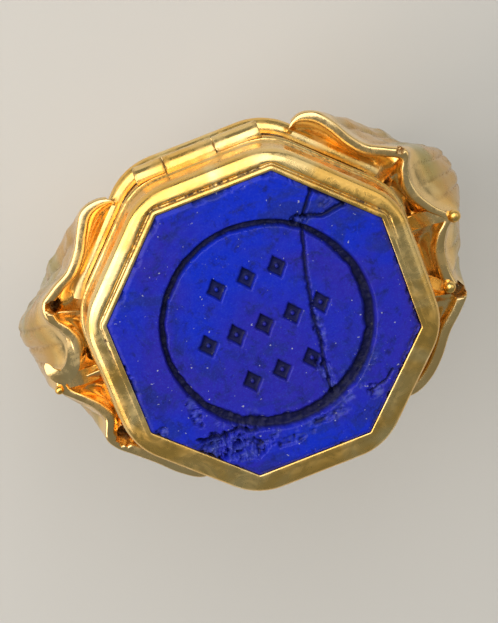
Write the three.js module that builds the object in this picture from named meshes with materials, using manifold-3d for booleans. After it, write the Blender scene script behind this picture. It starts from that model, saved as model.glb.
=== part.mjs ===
// A gold locket signet ring: a hoop with two ruffled leaf shoulders carries an octagonal case.
// The case holds a glazed keepsake compartment under a hinged lid, and the lid carries an
// engraved octagonal lapis seal. Millimetres. The origin is the centre of the finger hole,
// +Y runs along the finger towards the hinge and +Z points out through the seal.
import * as THREE from "three";
import { mergeVertices } from "three/addons/utils/BufferGeometryUtils.js";
import Module from "manifold-3d";

const wasm = await Module();
wasm.setup();

// ---- Driving dimensions ----
const GAP = 0.03; // between neighbouring pieces
const FINGER_R = 9.1; // inside radius of the hoop
const HEAD_TOP = 14.05; // height of the seal's face above the finger hole's centre
const STONE_FLAT = 6.8; // apothem of the octagonal stone
const CORNER_STEPS = 3; // facets on each rounded corner of the octagon
const PI = Math.PI;

// Depths below the seal's face
const STONE_DEPTH = 1.09;
const LEDGE_DEPTH = 1.36; // underside of the ledge that carries the stone
const LID_DEPTH = 2.12;
const CASE_TOP = 2.2;
const CASE_BOTTOM = 4.8;

// Engraving on the seal
const GROOVE = { radius: 4.8, width: 0.55, depth: 0.3 };
const CUT_ROWS = [
  { y: 2.5, xs: [-1.5, 0, 1.5] },
  { y: 0.1, xs: [-2.8, -1.4, 0, 1.4, 2.8] },
  { y: -2.3, xs: [-1.5, 0, 1.5] },
];
const CUT_HALF_WIDTH = 0.38;
const CUT_HALF_LENGTH = 0.48;

// Hinge, along X at the +Y side of the case
const HINGE_Y = 8.1;
const HINGE_DEPTH = 2.84;
const BARREL_R = 0.6;
const PIN_R = 0.22;
const BORE_R = 0.26;
const HINGE_ENDS = [-3.15, 3.05];
const MIDDLE_KNUCKLE = [-1.63, 0.81];

const OUTER_CORNER = 3.2; // corner radius of the head's outer edges

// Hoop
const HOOP_END_DEG = 70; // how far up each side the hoop runs, from the horizontal
const HOOP_BACK = { width: 3.6, thick: 1.25 };
const HOOP_SIDE = { width: 4.3, thick: 1.75 };
const HOOP_FLARE = 1.7; // added to the width where the hoop meets the case

// ---- Materials ----
const metal = (color, roughness) =>
  new THREE.MeshStandardMaterial({ color, roughness, metalness: 1 });
const gold = metal(0xe8b04c, 0.22);
const paleGold = metal(0xe3bd6c, 0.3);
const lapis = new THREE.MeshStandardMaterial({ color: 0x1a2fa8, roughness: 0.35 });
const crystal = new THREE.MeshStandardMaterial({
  color: 0xf2f5f5,
  roughness: 0.04,
  transparent: true,
  opacity: 0.35,
});
const silk = new THREE.MeshStandardMaterial({ color: 0x6b1f2c, roughness: 0.85 });
const cement = new THREE.MeshStandardMaterial({ color: 0x4a3a2c, roughness: 0.9 });

const ring = new THREE.Group();

function add(name, geometry, material) {
  const mesh = new THREE.Mesh(geometry, material);
  mesh.name = name;
  ring.add(mesh);
}

// ---- Solids ----

// A closed solid through loops of points that all have the same length. With around set the last
// loop joins the first, as on a picture frame; otherwise each end is closed by a fan.
function loft(loops, around = false) {
  const count = loops[0].length;
  const points = loops.flat();
  const faces = [];
  const rows = around ? loops.length : loops.length - 1;
  for (let i = 0; i < rows; i++) {
    const low = i * count;
    const high = ((i + 1) % loops.length) * count;
    for (let j = 0; j < count; j++) {
      const next = (j + 1) % count;
      faces.push(low + j, low + next, high + next, low + j, high + next, high + j);
    }
  }
  if (!around) {
    for (const [first, flip] of [[0, true], [(loops.length - 1) * count, false]]) {
      const centre = new THREE.Vector3();
      for (let j = 0; j < count; j++) centre.add(points[first + j]);
      points.push(centre.divideScalar(count));
      for (let j = 0; j < count; j++) {
        const pair = [first + j, first + ((j + 1) % count)];
        faces.push(...(flip ? pair.reverse() : pair), points.length - 1);
      }
    }
  }
  return facingOut(points, faces);
}

function facingOut(points, faces) {
  let volume = 0;
  for (let i = 0; i < faces.length; i += 3) {
    const [a, b, c] = [points[faces[i]], points[faces[i + 1]], points[faces[i + 2]]];
    volume += a.dot(new THREE.Vector3().crossVectors(b, c));
  }
  if (volume < 0) faces.reverse();
  const geometry = new THREE.BufferGeometry().setFromPoints(points);
  geometry.setIndex(faces);
  return geometry;
}

function solid(geometry, nearest = 1e-4) {
  const bare = geometry.clone();
  bare.deleteAttribute("normal");
  bare.deleteAttribute("uv");
  const merged = mergeVertices(bare, nearest);
  return new wasm.Manifold(
    new wasm.Mesh({
      numProp: 3,
      vertProperties: merged.attributes.position.array,
      triVerts: new Uint32Array(merged.index.array),
    }),
  );
}

// The largest faces come first, so that whatever reads the solid meets sound faces before slivers.
function geometryOf(manifold) {
  const mesh = manifold.getMesh();
  const geometry = new THREE.BufferGeometry();
  geometry.setAttribute("position", new THREE.BufferAttribute(mesh.vertProperties, 3));
  const corner = (i) => new THREE.Vector3().fromArray(mesh.vertProperties, 3 * i);
  const triangles = [];
  for (let i = 0; i < mesh.triVerts.length; i += 3) {
    const [a, b, c] = mesh.triVerts.subarray(i, i + 3);
    triangles.push({ at: [a, b, c], area: new THREE.Triangle(...[a, b, c].map(corner)).getArea() });
  }
  triangles.sort((p, q) => q.area - p.area);
  geometry.setIndex(triangles.flatMap(({ at }) => at));
  return geometry;
}

const largest = (made) => made.decompose().sort((a, b) => b.volume() - a.volume())[0];

function cut(geometry, ...tools) {
  return geometryOf(tools.reduce((left, tool) => left.subtract(solid(tool)), solid(geometry)));
}

// ---- Octagons ----

// One level loop round the octagon, with its corners rounded to the given radius.
function octagon(apothem, depth, radius = 0.25) {
  const loop = [];
  const toCentre = (apothem - radius) / Math.cos(PI / 8);
  for (let corner = 0; corner < 8; corner++) {
    const middle = PI / 8 + (corner * PI) / 4;
    for (let step = 0; step <= CORNER_STEPS; step++) {
      const angle = (corner * PI) / 4 + (step / CORNER_STEPS) * (PI / 4);
      loop.push(
        new THREE.Vector3(
          toCentre * Math.cos(middle) + radius * Math.cos(angle),
          toCentre * Math.sin(middle) + radius * Math.sin(angle),
          HEAD_TOP - depth,
        ),
      );
    }
  }
  return loop;
}

// A frame swept round the octagon, from a closed profile of [apothem, depth, corner radius].
const octagonFrame = (profile) => loft(profile.map((p) => octagon(...p)), true);

// A tablet with level faces, from [apothem, depth, corner radius] rows, top to bottom.
const octagonTablet = (profile) => loft(profile.map((p) => octagon(...p)));

// A round bar along X.
function barX(radius, from, to, y, depth, segments = 24) {
  const bar = new THREE.CylinderGeometry(radius, radius, to - from, segments);
  bar.rotateZ(PI / 2);
  bar.translate((from + to) / 2, y, HEAD_TOP - depth);
  return bar;
}

function boxAt(x, y, depth, width, length, height) {
  return new THREE.BoxGeometry(width, length, height).translate(x, y, HEAD_TOP - depth);
}

// ---- Lid ----

// The stone, with a cut circle round three rows of cut lozenges.
function lapisSeal() {
  const tablet = octagonTablet([
    [STONE_FLAT - 0.06, 0, 0.1],
    [STONE_FLAT, 0.06, 0.12],
    [STONE_FLAT, STONE_DEPTH, 0.12],
  ]);
  const { radius, width, depth } = GROOVE;
  const groove = new THREE.LatheGeometry(
    [[-0.5, 0.2], [-0.22, -depth], [0.22, -depth], [0.5, 0.2], [-0.5, 0.2]].map(
      ([across, height]) => new THREE.Vector2(radius + across * width * 1.2, height)),
    48,
  );
  groove.rotateX(PI / 2);
  groove.translate(0, 0, HEAD_TOP);
  const lozenges = CUT_ROWS.flatMap(({ y, xs }) => xs.map((x) => lozengeCutter(x, y)));
  return cut(tablet, groove, ...lozenges);
}

function lozengeCutter(x, y) {
  const cutter = new THREE.ConeGeometry(1.25, 0.5, 4);
  cutter.rotateX(-PI / 2);
  cutter.scale(CUT_HALF_WIDTH, CUT_HALF_LENGTH, 1);
  return cutter.translate(x, y, HEAD_TOP - 0.15);
}

function lidFrame() {
  const seat = STONE_FLAT + GAP;
  const frame = octagonFrame([
    [seat, 0.05, 0.14],
    [6.95, 0.02, 0.2],
    [7.12, 0.1, 0.4],
    [7.3, 0.07, 0.9],
    [7.62, 0.13, 2.2],
    [7.82, 0.24, 2.9],
    [7.94, 0.44, OUTER_CORNER],
    [7.96, 0.8, OUTER_CORNER],
    [7.96, 1.75, OUTER_CORNER],
    [8.04, 1.86, OUTER_CORNER],
    [8.04, LID_DEPTH, OUTER_CORNER],
    [7.15, LID_DEPTH, 0.6],
    [7.15, LEDGE_DEPTH, 0.6],
    [6.3, LEDGE_DEPTH, 0.3],
    [6.3, STONE_DEPTH + GAP, 0.3],
    [seat, STONE_DEPTH + GAP, 0.14],
  ]);
  return cut(frame, barX(0.26, -1.5, 1.5, -8.12, LID_DEPTH));
}

function middleKnuckle() {
  const [from, to] = MIDDLE_KNUCKLE;
  const barrel = solid(barX(BARREL_R, from, to, HINGE_Y, HINGE_DEPTH));
  const webTop = LID_DEPTH + GAP;
  const webHeight = HINGE_DEPTH - webTop;
  const web = boxAt(
    (from + to) / 2, HINGE_Y - 0.06, webTop + webHeight / 2, to - from, 0.3, webHeight);
  const bore = barX(BORE_R, from - 1, to + 1, HINGE_Y, HINGE_DEPTH);
  return geometryOf(barrel.add(solid(web)).subtract(solid(bore)));
}

// ---- Case ----

// The recess in the case wall that the hinge barrel lies in.
const hingeRecess = () =>
  barX(BARREL_R + GAP, HINGE_ENDS[0] - GAP, HINGE_ENDS[1] + GAP, HINGE_Y, HINGE_DEPTH);

function caseWall() {
  const wall = octagonFrame([
    [6.95, CASE_TOP, 0.55],
    [8.02, CASE_TOP, OUTER_CORNER],
    [8.14, 2.3, OUTER_CORNER],
    [8.14, 2.42, OUTER_CORNER],
    [7.98, 2.56, OUTER_CORNER],
    [7.94, 3.5, OUTER_CORNER],
    [7.94, CASE_BOTTOM, OUTER_CORNER],
    [6.95, CASE_BOTTOM, 0.55],
  ]);
  const nailNick = barX(0.3, -1.6, 1.6, -8.2, CASE_TOP);
  const webRoom = boxAt(
    (MIDDLE_KNUCKLE[0] + MIDDLE_KNUCKLE[1]) / 2, HINGE_Y + 0.1, CASE_TOP,
    MIDDLE_KNUCKLE[1] - MIDDLE_KNUCKLE[0] + 2 * GAP, 0.68, 0.5);
  return cut(wall, hingeRecess(), nailNick, webRoom);
}

// A moulded wire soldered round the foot of the case.
function baseMoulding() {
  return octagonFrame([
    [7.97, 3.94, OUTER_CORNER],
    [8.2, 3.94, OUTER_CORNER],
    [8.48, 4.08, OUTER_CORNER],
    [8.6, 4.3, OUTER_CORNER],
    [8.56, 4.6, OUTER_CORNER],
    [8.4, 4.78, OUTER_CORNER],
    [7.97, 4.78, OUTER_CORNER],
  ]);
}

function caseFloor() {
  return octagonTablet([
    [6.92, 4.4, 0.54],
    [6.92, CASE_BOTTOM, 0.54],
  ]);
}

// The thin wall inside the case that the lid's skirt closes over.
function collar() {
  return octagonFrame([
    [6.5, 1.72, 0.45],
    [6.84, 1.72, 0.53],
    [6.92, 1.8, 0.54],
    [6.92, 4.37, 0.54],
    [6.5, 4.37, 0.45],
  ]);
}

function caseKnuckle(from, to) {
  return cut(
    barX(BARREL_R, from, to, HINGE_Y, HINGE_DEPTH),
    barX(BORE_R, from - 1, to + 1, HINGE_Y, HINGE_DEPTH),
  );
}

function catchBead() {
  const bead = barX(0.12, -0.9, 0.9, -6.98, 1.98, 12);
  return cut(bead, boxAt(0, -6.45, 1.98, 3, 1, 1));
}

// ---- Glazed compartment ----

function glassFrame() {
  return octagonFrame([
    [5.7, 2.1, 0.35],
    [6.46, 2.1, 0.45],
    [6.46, 2.95, 0.45],
    [6.2, 2.95, 0.4],
    [6.2, 2.36, 0.4],
    [5.8, 2.36, 0.35],
  ]);
}

function keepsakeGlass() {
  return octagonTablet([
    [6.05, 2.39, 0.38],
    [6.17, 2.5, 0.4],
    [6.17, 2.85, 0.4],
  ]);
}

function keepsakeLining() {
  return octagonTablet([
    [6.35, 3.92, 0.4],
    [6.45, 4.0, 0.43],
    [6.45, 4.37, 0.43],
  ]);
}

// ---- Hoop ----

function hoopWidth(angle) {
  const up = Math.sin(angle);
  const { width } = HOOP_SIDE;
  return up < 0 ? width + (width - HOOP_BACK.width) * up : width + HOOP_FLARE * up;
}

// The hoop's outer surface swells from the back to the shoulders. Extra widens the section
// all round, for cutting room in its neighbours.
function hoop(extra = 0) {
  const loops = [];
  const stations = 40;
  const sweep = (180 + 2 * HOOP_END_DEG) * (PI / 180);
  const start = (HOOP_END_DEG * PI) / 180;
  for (let i = 0; i <= stations; i++) {
    const angle = start - (i / stations) * sweep;
    const rise = Math.min(1, (1 + Math.sin(angle)) / 1.05);
    const width = hoopWidth(angle) + 2 * extra;
    const thick = THREE.MathUtils.lerp(HOOP_BACK.thick, HOOP_SIDE.thick, rise) + 2 * extra;
    loops.push(hoopSection(angle, width, thick, extra));
  }
  const whole = solid(loft(loops));
  const above = boxAt(0, 0, CASE_BOTTOM + GAP - 5 - extra, 40, 40, 10);
  return geometryOf(whole.subtract(solid(above)));
}

// Distance of the hoop's outer surface from the finger's axis.
function hoopOuter(angle, y) {
  const rise = Math.min(1, (1 + Math.sin(angle)) / 1.05);
  const half = THREE.MathUtils.lerp(HOOP_BACK.width, HOOP_SIDE.width, rise) / 2;
  const thick = THREE.MathUtils.lerp(HOOP_BACK.thick, HOOP_SIDE.thick, rise);
  return FINGER_R + thick * (0.4 + 0.6 * Math.sqrt(Math.max(0, 1 - (y / half) ** 2)));
}

function hoopSection(angle, width, thick, extra) {
  const shape = [];
  const wall = 0.4 * thick;
  const inner = FINGER_R - extra;
  shape.push([inner + 0.12, -width / 2], [inner, -width / 3], [inner, width / 3]);
  shape.push([inner + 0.12, width / 2]);
  for (let k = 0; k <= 6; k++) {
    const a = (k / 6) * PI;
    shape.push([
      inner + wall + (thick - wall) * Math.sin(a),
      (width / 2) * Math.cos(a),
    ]);
  }
  return shape.map(([r, y]) => new THREE.Vector3(r * Math.cos(angle), y, r * Math.sin(angle)));
}

// ---- Shoulders ----

// The rim of each shoulder in plan, from the hinge side to the front, with x counted outwards.
// The rim bows in towards the case between three outward cusps.
const RIGHT_RIM = [
  [4.3, 7.7], [5.1, 8.1], [5.9, 7.9], [6.5, 7.2], [7.0, 6.3], [7.6, 5.6], [8.5, 5.1], [9.3, 4.6],
  [9.1, 3.9], [9.0, 3.1], [9.2, 2.3], [9.7, 1.5], [10.3, 0.8], [9.8, 0.2], [9.4, -0.6],
  [9.3, -1.6], [9.4, -2.4], [9.7, -3.1], [9.2, -3.8], [8.3, -4.7], [7.5, -5.8], [6.7, -6.6],
  [5.8, -7.1], [4.9, -7.2],
];
const LEFT_RIM = [
  [4.4, 7.6], [5.3, 7.8], [6.1, 7.6], [6.6, 6.9], [7.1, 6.0], [7.8, 5.2], [8.7, 4.7], [9.5, 4.1],
  [9.6, 3.3], [9.2, 2.6], [9.0, 1.8], [9.3, 1.0], [10.2, 0.5], [10.4, -0.2], [9.8, -0.9],
  [9.2, -1.6], [8.9, -2.4], [9.2, -3.3], [8.9, -4.0], [8.2, -4.7], [7.4, -5.5], [6.6, -6.4],
  [5.7, -7.1], [4.9, -7.2],
];
// How far the outside swells beyond each rim point, about 3 mm below it.
const RIGHT_BULGES = [1.7, 1.4, 1.1, 0.9, 0.9, 1, 0.9, 1.2, 3, 3.8, 3.8, 2.9, 1.8, 2.4, 2.7, 2.1,
  0.8, 0.3, 0.3, 0.3, 0.4, 0.7, 1.1, 1.6];
const LEFT_BULGES = [1.7, 1.3, 0.9, 0.6, 0.4, 0.3, 0.4, 0.9, 2.4, 3.7, 3.9, 3.2, 1.7, 1.4, 1.8, 2.2,
  1.4, 0.5, 0.3, 0.3, 0.4, 0.7, 1.1, 1.6];
const RIM_DEPTH = 3.0; // depth of the rim's crest below the seal's face
const RIM_THICK = 0.45;
// Ridges run from the rim's outward cusps to the case and part four scooped flutes. Each entry
// is a place along the rim, counted in rim points.
const RIGHT_RIDGES = [7.4, 12.1, 17];
const LEFT_RIDGES = [7.6, 12.8, 17.3];
const RIDGE_DEPTH = 0.35; // below the rim's crest
const SCOOP_DEPTH = 1.2; // below the ridges
const FOOT_HALF_WIDTH = 1.9;
const SHOULDER_STATIONS = 58;
const BEAD_R = 0.33;
const RIGHT_OUTER_BEAD = [10.3, 0.8];
const RIGHT_FRONT_BEAD = [8.95, -2.45];
const LEFT_OUTER_BEAD = [-10.3, -0.1];

// The point of a rounded octagon that is nearest to a point in plan, and the direction outwards.
function nearestOnCase(x, y, apothem, radius) {
  const toCentre = (apothem - radius) / Math.cos(PI / 8);
  const sector = Math.floor(Math.atan2(y, x) / (PI / 4));
  const middle = (sector + 0.5) * (PI / 4);
  const centre = new THREE.Vector2(toCentre * Math.cos(middle), toCentre * Math.sin(middle));
  let angle = Math.atan2(y - centre.y, x - centre.x);
  angle = THREE.MathUtils.clamp(angle, sector * (PI / 4), (sector + 1) * (PI / 4));
  const outward = new THREE.Vector2(Math.cos(angle), Math.sin(angle));
  const away = new THREE.Vector2(x, y).sub(centre).dot(outward) - radius;
  return { point: new THREE.Vector2(x, y).sub(outward.clone().multiplyScalar(away)), outward };
}

// How far a scoop has sunk at a place along the rim: 0 on a ridge, 1 at the deepest point, which
// lies towards the front end of each flute.
function scoopAt(place, ridges, last) {
  const edges = [-0.5, ...ridges, last + 0.5];
  const flute = edges.findIndex((edge, k) => place < edges[k + 1]);
  const along = (place - edges[flute]) / (edges[flute + 1] - edges[flute]);
  return Math.pow(Math.sin(PI * Math.pow(along, 1.5)), 0.8);
}

function shoulderSection(rim, ridges, t) {
  const last = rim.points.length - 1;
  const on = rim.getPoint(t);
  const near = nearestOnCase(on.x, on.y, 7.8, OUTER_CORNER);
  const out = near.outward;
  const crest = HEAD_TOP - RIM_DEPTH - 0.5 * Math.pow(Math.abs(2 * t - 1), 4);
  const scoop = scoopAt(t * last, ridges, last);
  const floor = crest - RIDGE_DEPTH - SCOOP_DEPTH * scoop;
  const at = (plan, reach, z) => new THREE.Vector3(
    plan.x + out.x * reach, plan.y + out.y * reach, z);

  // The foot hugs the outside of the hoop and ends in a tongue.
  const turn = -((8 + 17 * Math.sin(PI * t)) * PI) / 180;
  const footY = FOOT_HALF_WIDTH * Math.cos(PI * t);
  const footR = hoopOuter(turn, footY) + 0.14;
  const polar = (radius, angle) => new THREE.Vector3(
    radius * Math.cos(angle), footY, radius * Math.sin(angle));
  const foot = polar(footR, turn);
  const upTheHoop = new THREE.Vector3(-Math.sin(turn), 0, Math.cos(turn));
  const edge = at(on, 0, crest - 0.25);
  const skin = new THREE.CubicBezierCurve3(
    edge,
    new THREE.Vector3(edge.x + on.z, edge.y * 0.87, crest - 3),
    foot.clone().addScaledVector(upTheHoop, 4.2)
      .add(new THREE.Vector3(0.5 * Math.sin(PI * t), footY * 0.15, 0)),
    foot,
  );
  const gapMiddle = on.clone().lerp(near.point, 0.45);
  return [
    at(near.point, -0.6, floor + 0.15),
    at(near.point, 0.1, floor + 0.15 * scoop),
    at(gapMiddle, 0, floor),
    at(on, -RIM_THICK - 0.1, crest - RIDGE_DEPTH - 0.6 * scoop),
    at(on, -RIM_THICK, crest - 0.12),
    at(on, -RIM_THICK / 2, crest),
    at(on, -0.06, crest - 0.06),
    ...skin.getPoints(9),
    polar(footR - 0.6, turn),
    polar(FINGER_R - 0.3, turn / 2),
    new THREE.Vector3(8.2, footY, 2.5),
    new THREE.Vector3(5.0, footY * 1.4, 6.5),
  ];
}

const bead = ([x, y], radius = BEAD_R) =>
  new THREE.SphereGeometry(radius, 14, 10).translate(x, y, HEAD_TOP - RIM_DEPTH + 0.08);

// Side is 1 for the shoulder at +X and -1 for the one at -X.
function shoulder(rimPoints, bulges, ridges, beads, side) {
  const rim = new THREE.CatmullRomCurve3(
    rimPoints.map(([x, y], k) => new THREE.Vector3(x, y, bulges[k])), false, "centripetal");
  const loops = [];
  for (let i = 0; i <= SHOULDER_STATIONS; i++) {
    const section = shoulderSection(rim, ridges, i / SHOULDER_STATIONS);
    loops.push(section.map((p) => new THREE.Vector3(side * p.x, p.y, p.z)));
  }
  const room = [
    new THREE.CylinderGeometry(FINGER_R + GAP, FINGER_R + GAP, 40, 96),
    hoop(GAP),
    octagonTablet([
      [8.1, -2, OUTER_CORNER],
      [8.18, 2.1, OUTER_CORNER],
      [8.18, 2.5, OUTER_CORNER],
      [8.0, 2.6, OUTER_CORNER],
      [8.0, 3.88, OUTER_CORNER],
      [8.24, 3.9, OUTER_CORNER],
      [8.52, 4.06, OUTER_CORNER],
      [8.64, 4.3, OUTER_CORNER],
      [8.6, 4.62, OUTER_CORNER],
      [8.43, 4.83, OUTER_CORNER],
    ]),
    ...beads.map((place) => bead(place, BEAD_R + 0.02)),
  ];
  let made = solid(loft(side < 0 ? loops.reverse() : loops));
  for (const tool of room) made = made.subtract(solid(tool));
  const smooth = largest(made).simplify(0.01);
  return geometryOf(largest(solid(geometryOf(smooth), 1e-3)));
}

// ---- Assembly ----

add("hoop", hoop(), gold);
const rightBeads = [RIGHT_OUTER_BEAD, RIGHT_FRONT_BEAD];
add("right_shoulder", shoulder(RIGHT_RIM, RIGHT_BULGES, RIGHT_RIDGES, rightBeads, 1), gold);
add("left_shoulder", shoulder(LEFT_RIM, LEFT_BULGES, LEFT_RIDGES, [LEFT_OUTER_BEAD], -1), gold);
add("right_outer_bead", bead(RIGHT_OUTER_BEAD), gold);
add("right_front_bead", bead(RIGHT_FRONT_BEAD), gold);
add("left_outer_bead", bead(LEFT_OUTER_BEAD), gold);
add("case_wall", caseWall(), gold);
add("base_moulding", baseMoulding(), gold);
add("case_floor", caseFloor(), paleGold);
add("collar", collar(), paleGold);
add("catch_bead", catchBead(), gold);
add("left_hinge_knuckle", caseKnuckle(HINGE_ENDS[0], MIDDLE_KNUCKLE[0] - GAP), gold);
add("right_hinge_knuckle", caseKnuckle(MIDDLE_KNUCKLE[1] + GAP, HINGE_ENDS[1]), gold);
add("hinge_pin", barX(PIN_R, HINGE_ENDS[0], HINGE_ENDS[1], HINGE_Y, HINGE_DEPTH), paleGold);
add("glass_frame", glassFrame(), paleGold);
add("keepsake_glass", keepsakeGlass(), crystal);
add("keepsake_lining", keepsakeLining(), silk);
add("lid_frame", lidFrame(), gold);
add("middle_hinge_knuckle", middleKnuckle(), gold);
add(
  "lid_back_plate",
  octagonTablet([
    [7.11, LEDGE_DEPTH + GAP, 0.58],
    [7.11, 1.6, 0.58],
  ]),
  paleGold,
);
add(
  "stone_bed",
  octagonTablet([
    [6.26, STONE_DEPTH + GAP, 0.28],
    [6.26, LEDGE_DEPTH, 0.28],
  ]),
  cement,
);
add("lapis_seal", lapisSeal(), lapis);

export default ring;
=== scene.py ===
"""Looks of a gold locket signet ring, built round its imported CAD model.

Plan sizes are millimetres in the model's own frame: the finger hole's centre is the origin, +Y runs
towards the lid's hinge and +Z out through the seal. Depths count down from the seal's face.
"""

import math

import bpy
import numpy as np
from mathutils import Matrix, Vector

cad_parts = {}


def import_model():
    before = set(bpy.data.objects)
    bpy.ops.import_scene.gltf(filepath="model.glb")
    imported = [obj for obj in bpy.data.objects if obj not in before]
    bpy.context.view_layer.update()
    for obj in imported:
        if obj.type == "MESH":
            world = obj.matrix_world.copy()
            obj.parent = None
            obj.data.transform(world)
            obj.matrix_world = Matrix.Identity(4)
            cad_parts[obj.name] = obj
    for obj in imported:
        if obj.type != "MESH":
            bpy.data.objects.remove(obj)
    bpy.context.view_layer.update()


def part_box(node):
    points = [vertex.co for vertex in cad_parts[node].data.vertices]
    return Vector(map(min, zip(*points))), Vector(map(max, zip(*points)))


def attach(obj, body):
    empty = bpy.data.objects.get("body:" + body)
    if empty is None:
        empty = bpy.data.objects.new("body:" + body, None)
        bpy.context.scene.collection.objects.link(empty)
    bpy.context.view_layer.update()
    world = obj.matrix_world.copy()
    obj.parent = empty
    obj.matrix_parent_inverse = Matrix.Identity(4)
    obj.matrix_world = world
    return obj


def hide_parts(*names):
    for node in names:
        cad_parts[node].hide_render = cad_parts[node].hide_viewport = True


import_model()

MM = 0.001
TAU = 2 * math.pi
EIGHTH = TAU / 8


def span(node, axis):
    """A CAD node's lowest and highest place on one axis, in millimetres."""
    low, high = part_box(node)
    return low[axis] / MM, high[axis] / MM


# ---- Sizes that come from the CAD model ----
TOP = span("lapis_seal", 2)[1]
STONE_HALF = span("lapis_seal", 0)[1]
STONE_DEPTH = TOP - span("lapis_seal", 2)[0]
LID_HALF = span("lid_frame", 0)[1]
LID_DEPTH = TOP - span("lid_frame", 2)[0]
CASE_HALF = span("case_wall", 0)[1]
CASE_TOP = TOP - span("case_wall", 2)[1]
CASE_BOTTOM = TOP - span("case_wall", 2)[0]
FLOOR_TOP = TOP - span("case_floor", 2)[1]
MOULD_HALF = span("base_moulding", 0)[1]
MOULD_TOP = TOP - span("base_moulding", 2)[1]
MOULD_BOTTOM = TOP - span("base_moulding", 2)[0]
COLLAR_HALF = span("collar", 0)[1]
COLLAR_TOP = TOP - span("collar", 2)[1]
HINGE_Y = sum(span("hinge_pin", 1)) / 2
HINGE_Z = sum(span("hinge_pin", 2)) / 2
PIN_R = (span("hinge_pin", 2)[1] - span("hinge_pin", 2)[0]) / 2
BARREL_R = span("left_hinge_knuckle", 2)[1] - HINGE_Z
HOOP_BOTTOM = span("hoop", 2)[0]
PIN_PLAY = 0.04  # between the pin and the bore of its knuckles
BORE_R = PIN_R + PIN_PLAY
FINGER_R = 9.1
WALL_FLAT = CASE_HALF - 0.2
OUTER_CORNER = 3.2  # corner radius of the head's outer edges
CLEARANCE = 0.03  # between neighbouring pieces
SEAT_GAP = 0.02  # between the stone and its setting
SHARP_EDGE = 40  # faces that meet at more degrees than this keep a crisp edge


# ---- Numbers: noise, curves and easing ----


def lattice(ix, iy, iz, seed):
    """A fixed pseudo-random number from -1 to 1 at each lattice point."""
    mask = np.int64(0xFFFFFFFF)
    h = (ix * 374761393 + iy * 668265263 + iz * 974634777 + seed * 1274126177) & mask
    h = ((h ^ (h >> 13)) * 1274126177) & mask
    return ((h ^ (h >> 16)) & 0xFFFF) / 32767.5 - 1


def noise(points, scale, seed=0):
    """Smooth noise from -1 to 1 at points, with about scale bumps to the millimetre."""
    p = np.asarray(points, float) * scale
    base = np.floor(p).astype(np.int64)
    f = p - base
    f = f * f * (3 - 2 * f)
    total = 0
    for corner in range(8):
        dx, dy, dz = corner & 1, corner >> 1 & 1, corner >> 2 & 1
        weight = np.where([dx, dy, dz], f, 1 - f).prod(axis=-1)
        value = lattice(base[..., 0] + dx, base[..., 1] + dy, base[..., 2] + dz, seed)
        total = total + weight * value
    return total


def fractal(points, scale, seed=0, octaves=4):
    """Layers of noise, each half the size and strength of the one before."""
    total = sum(noise(points, scale * 2**k, seed + k) / 2**k for k in range(octaves))
    return total / 1.6


def patches(points, base, swing, scale, seed, octaves=4):
    """A number from 0 to 1 that varies in soft patches."""
    return np.clip(base + swing * fractal(points, scale, seed, octaves), 0, 1)


def ease(x, low=0.0, high=1.0):
    """A smooth step from 0 at low to 1 at high."""
    t = np.clip((x - low) / (high - low), 0, 1)
    return t * t * (3 - 2 * t)


def bump(x, centre, width):
    """A smooth hump of height 1 round centre."""
    return np.exp(-(((x - centre) / width) ** 2))


def spline(points, places):
    """Points of a Catmull-Rom curve; places count in control points, from 0."""
    p = np.asarray(points, float)
    if p.ndim == 1:
        return spline(p[:, None], places)[:, 0]
    p = np.vstack([2 * p[0] - p[1], p, 2 * p[-1] - p[-2]])
    places = np.clip(np.asarray(places, float), 0, len(points) - 1 - 1e-9)
    k = places.astype(int)
    t = (places - k)[:, None]
    a, b, c, d = p[k], p[k + 1], p[k + 2], p[k + 3]
    return 0.5 * (
        2 * b + (c - a) * t + (2 * a - 5 * b + 4 * c - d) * t**2 + (3 * b - a - 3 * c + d) * t**3
    )


# ---- Meshes ----


def grid_faces(rows, columns, rows_close, columns_close):
    """Quads over a grid of points, which may close on itself either way."""
    r = np.arange(rows if rows_close else rows - 1)
    c = np.arange(columns if columns_close else columns - 1)
    r, c = [g.ravel() for g in np.meshgrid(r, c, indexing="ij")]
    up, across = (r + 1) % rows, (c + 1) % columns
    quads = [r * columns + c, r * columns + across, up * columns + across, up * columns + c]
    return np.stack(quads, axis=1)


def signed_volume(points, faces):
    """Six times the volume inside the faces, below 0 if they face inwards."""
    total = 0
    for k in range(1, faces.shape[1] - 1):
        a, b, c = points[faces[:, 0]], points[faces[:, k]], points[faces[:, k + 1]]
        total += np.einsum("ij,ij->i", a, np.cross(b, c)).sum()
    return total


def add_object(name, data):
    obj = bpy.data.objects.new(name, data)
    bpy.context.scene.collection.objects.link(obj)
    return obj


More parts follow.
